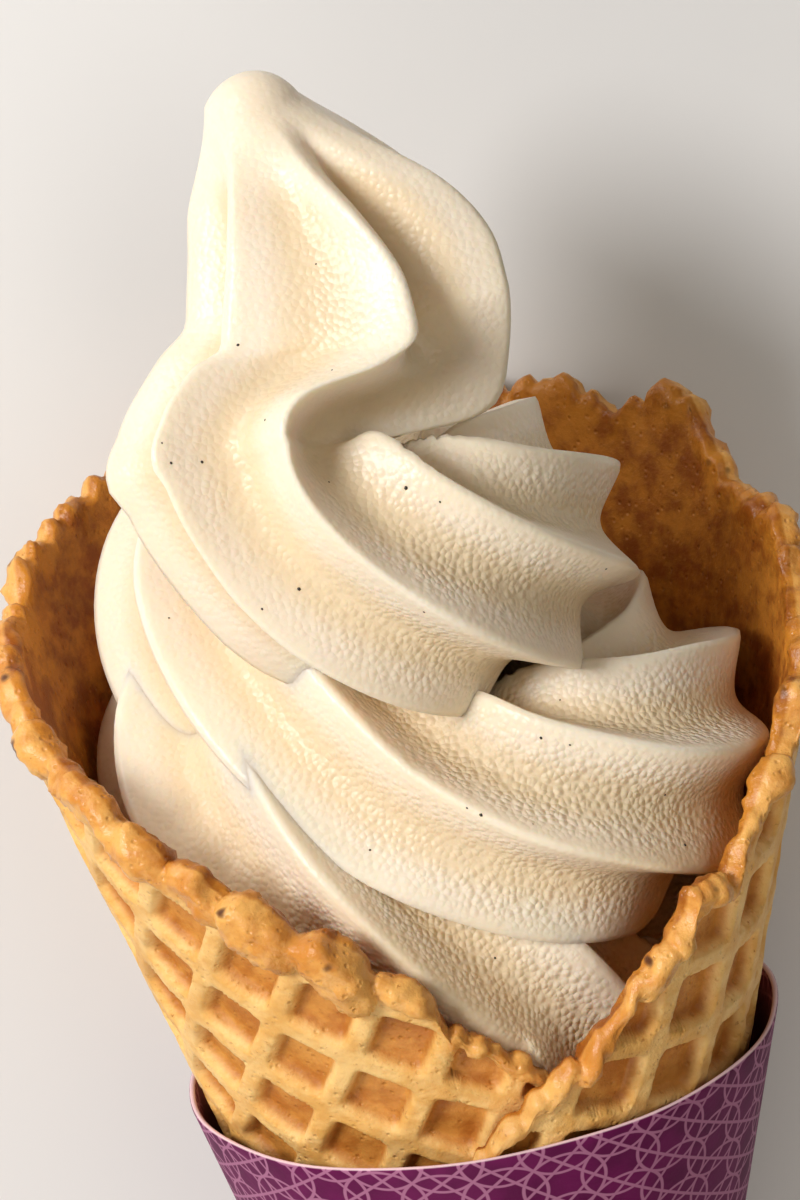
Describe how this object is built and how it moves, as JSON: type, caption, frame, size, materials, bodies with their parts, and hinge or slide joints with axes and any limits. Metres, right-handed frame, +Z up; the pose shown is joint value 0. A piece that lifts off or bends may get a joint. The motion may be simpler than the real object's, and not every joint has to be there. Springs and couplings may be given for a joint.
{
  "type": "soft serve ice cream cone",
  "caption": "Vanilla soft serve swirl piped into a rolled waffle cone with a notched, lapped rim, held in a tapered paper sleeve and lying on its side.",
  "frame": {"origin": "middle of the bounding box in x and y, at the table plane under the sleeve", "axes": "+Y towards the mouth and the ice cream's peak, +Z up from the table, +X to the right seen from above with the mouth away"},
  "size_m": [0.0804, 0.2088, 0.0666],
  "materials": {
    "wafer": "baked golden wafer with darker pockets and browned rim",
    "ice_cream": "moist cream surface, fine frozen grain, vanilla specks",
    "paper": "plum coated paper with a fine pale line pattern"
  },
  "bodies": {
    "root": {"waffle_cone": "wafer", "soft_serve": "ice_cream", "paper_sleeve": "paper"}
  },
  "joints": []
}
